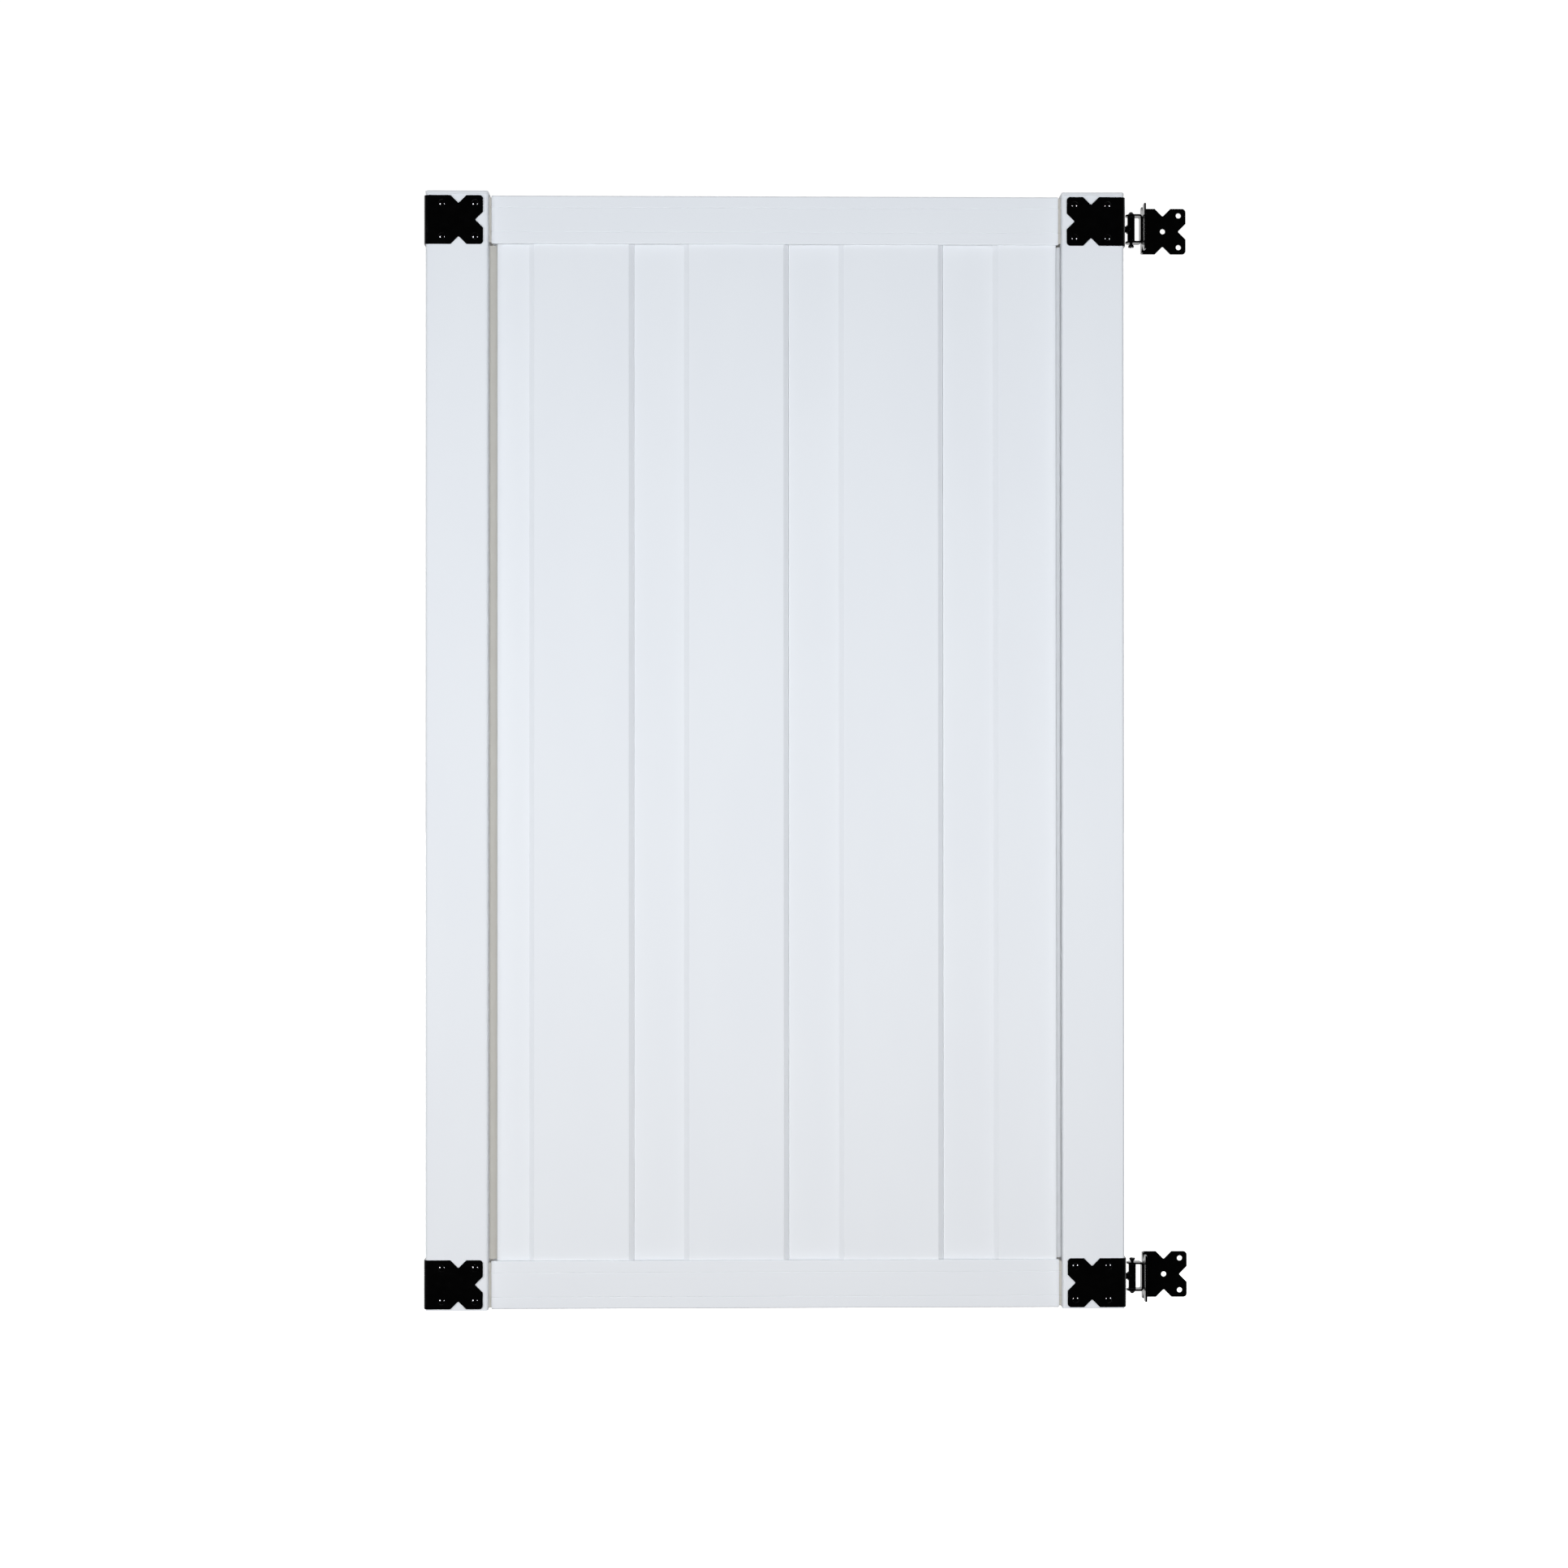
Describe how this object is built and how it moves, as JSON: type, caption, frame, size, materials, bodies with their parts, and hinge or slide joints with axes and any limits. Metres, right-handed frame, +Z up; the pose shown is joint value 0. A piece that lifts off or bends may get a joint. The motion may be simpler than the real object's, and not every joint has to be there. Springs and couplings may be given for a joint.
{
  "type": "garden gate",
  "caption": "White vinyl privacy gate leaf of tongue and groove boards between box uprights and rails, with black X shaped corner brackets and self closing post hinges.",
  "frame": {"origin": "midway between the two outer bolt holes of the lower post plate, on the face that lies against the back of the post", "axes": "+X along the closed leaf from the latch side to the post, +Y through the leaf to the side it opens to, +Z up"},
  "size_m": [1.2597, 0.0806, 1.829],
  "materials": {
    "white_vinyl": "satin",
    "moulded_vinyl": "satin",
    "black_coated_steel": "gloss powder coat",
    "aluminium": "mill",
    "zinc_screws": "zinc plated",
    "spring_steel": "oiled",
    "nylon": "moulded"
  },
  "bodies": {
    "post_side": {"upper_post_plate": "black_coated_steel", "lower_post_plate": "black_coated_steel", "upper_hinge_clevis": "black_coated_steel", "lower_hinge_clevis": "black_coated_steel", "upper_hinge_pin": "black_coated_steel", "lower_hinge_pin": "black_coated_steel"},
    "leaf": {"left_upright": "white_vinyl", "right_upright": "white_vinyl", "left_upright_cap": "moulded_vinyl", "right_upright_cap": "moulded_vinyl", "left_upright_stiffener": "aluminium", "right_upright_stiffener": "aluminium", "top_rail": "white_vinyl", "bottom_rail": "white_vinyl", "top_rail_tube": "aluminium", "bottom_rail_tube": "aluminium", "top_left_rail_bracket": "moulded_vinyl", "top_right_rail_bracket": "moulded_vinyl", "bottom_left_rail_bracket": "moulded_vinyl", "bottom_right_rail_bracket": "moulded_vinyl", "rail_bracket_screws": "zinc_screws", "left_side_channel": "moulded_vinyl", "right_side_channel": "moulded_vinyl", "side_channel_screws": "zinc_screws", "board_1": "white_vinyl", "board_2": "white_vinyl", "board_3": "white_vinyl", "board_4": "white_vinyl", "upper_latch_bracket": "black_coated_steel", "lower_latch_bracket": "black_coated_steel", "upper_hinge_bracket": "black_coated_steel", "lower_hinge_bracket": "black_coated_steel", "upper_latch_bracket_screws": "black_coated_steel", "lower_latch_bracket_screws": "black_coated_steel", "upper_hinge_bracket_screws": "black_coated_steel", "lower_hinge_bracket_screws": "black_coated_steel", "upper_hinge_barrel": "black_coated_steel", "lower_hinge_barrel": "black_coated_steel", "upper_hinge_crown_bush": "nylon", "lower_hinge_crown_bush": "nylon", "upper_hinge_head_bush": "nylon", "lower_hinge_head_bush": "nylon", "upper_hinge_spring": "spring_steel", "lower_hinge_spring": "spring_steel"},
    "upper_crown": {"upper_hinge_crown": "black_coated_steel"},
    "lower_crown": {"lower_hinge_crown": "black_coated_steel"}
  },
  "joints": [
    {"name": "leaf_swing", "type": "hinge", "parent": "post_side", "child": "leaf", "pos_m": [-0.0815, -0.015, 0], "axis": [0, 0, -1], "range_deg": [0, 110], "stiffness_Nm_per_rad": 1.5, "springref_deg": -68.75},
    {"name": "upper_crown_turn", "type": "hinge", "parent": "post_side", "child": "upper_crown", "pos_m": [-0.0815, -0.015, 1.738], "axis": [0, 0, -1], "range_deg": [0, 180]},
    {"name": "lower_crown_turn", "type": "hinge", "parent": "post_side", "child": "lower_crown", "pos_m": [-0.0815, -0.015, 0], "axis": [0, 0, 1], "range_deg": [0, 180]}
  ]
}
